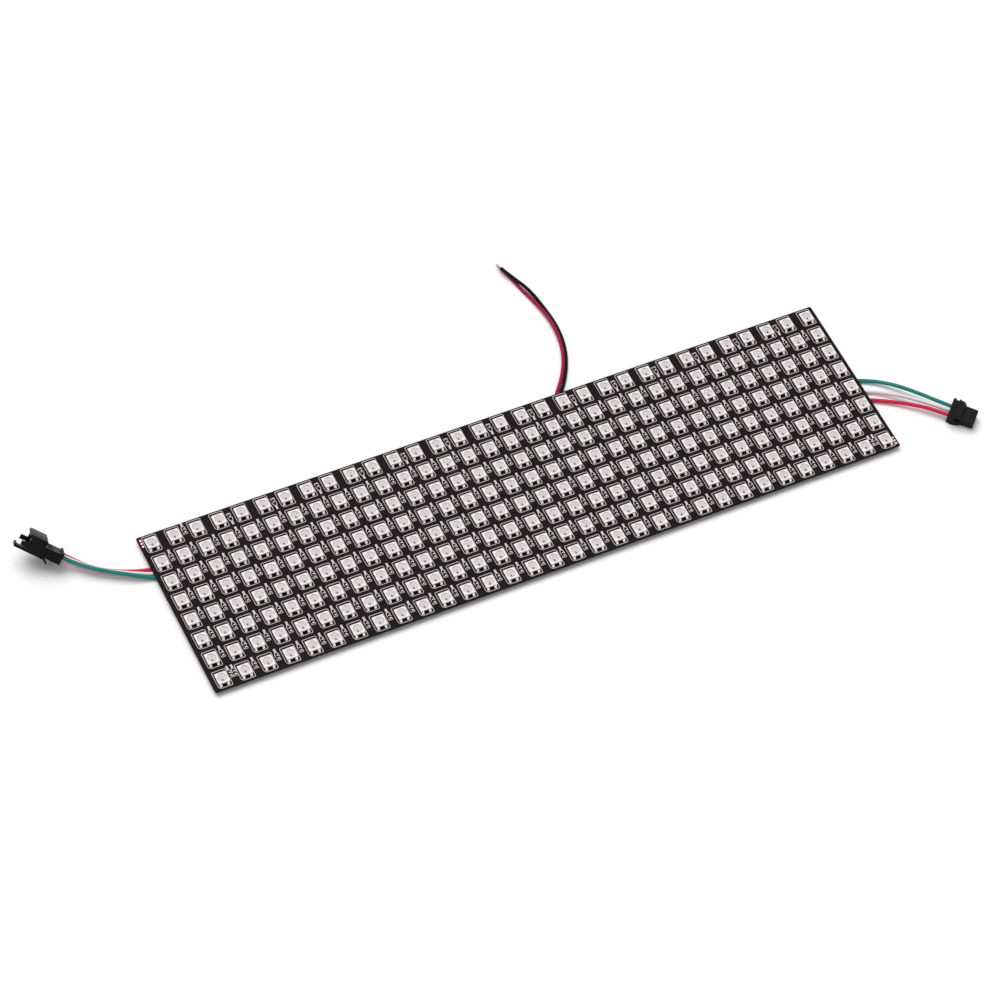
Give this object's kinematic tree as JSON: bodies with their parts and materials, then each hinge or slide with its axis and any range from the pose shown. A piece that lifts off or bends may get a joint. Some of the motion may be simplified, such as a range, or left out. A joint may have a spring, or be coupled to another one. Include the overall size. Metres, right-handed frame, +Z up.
{
  "type": "led matrix panel",
  "caption": "Flexible RGB LED matrix panel on a black printed circuit, with two three-wire data pigtails and a pair of power leads",
  "frame": {"origin": "on the table under the middle of the panel, the soldered joints resting on it", "axes": "+X along the panel from its data-in end to its data-out end, +Y across it to the edge with the power leads, +Z up out of its light-giving face"},
  "size_m": [0.4088, 0.1561, 0.0167],
  "materials": {
    "flexible_circuit": "satin",
    "led_body": "satin",
    "capacitor_ceramic": "satin",
    "solder": "satin",
    "insulation_red": "satin",
    "insulation_white": "satin",
    "insulation_green": "satin",
    "insulation_black": "satin",
    "housing_nylon": "satin",
    "tinned_contacts": "polished",
    "tinned_copper": "satin"
  },
  "bodies": {
    "root": {"flexible_circuit": "flexible_circuit", "led_row_1": "led_body", "led_row_2": "led_body", "led_row_3": "led_body", "led_row_4": "led_body", "led_row_5": "led_body", "led_row_6": "led_body", "led_row_7": "led_body", "led_row_8": "led_body", "capacitor_row_1": "capacitor_ceramic", "capacitor_row_2": "capacitor_ceramic", "capacitor_row_3": "capacitor_ceramic", "capacitor_row_4": "capacitor_ceramic", "capacitor_row_5": "capacitor_ceramic", "capacitor_row_6": "capacitor_ceramic", "capacitor_row_7": "capacitor_ceramic", "capacitor_row_8": "capacitor_ceramic", "data_in_solder": "solder", "data_out_solder": "solder", "power_solder": "solder", "data_in_wire_red": "insulation_red", "data_in_wire_white": "insulation_white", "data_in_wire_green": "insulation_green", "data_out_wire_red": "insulation_red", "data_out_wire_white": "insulation_white", "data_out_wire_green": "insulation_green", "power_wire_red": "insulation_red", "power_wire_black": "insulation_black", "power_tip_red": "tinned_copper", "power_tip_black": "tinned_copper", "data_in_housing": "housing_nylon", "data_in_pins": "tinned_contacts", "data_out_housing": "housing_nylon", "data_out_contacts": "tinned_contacts"}
  },
  "joints": []
}
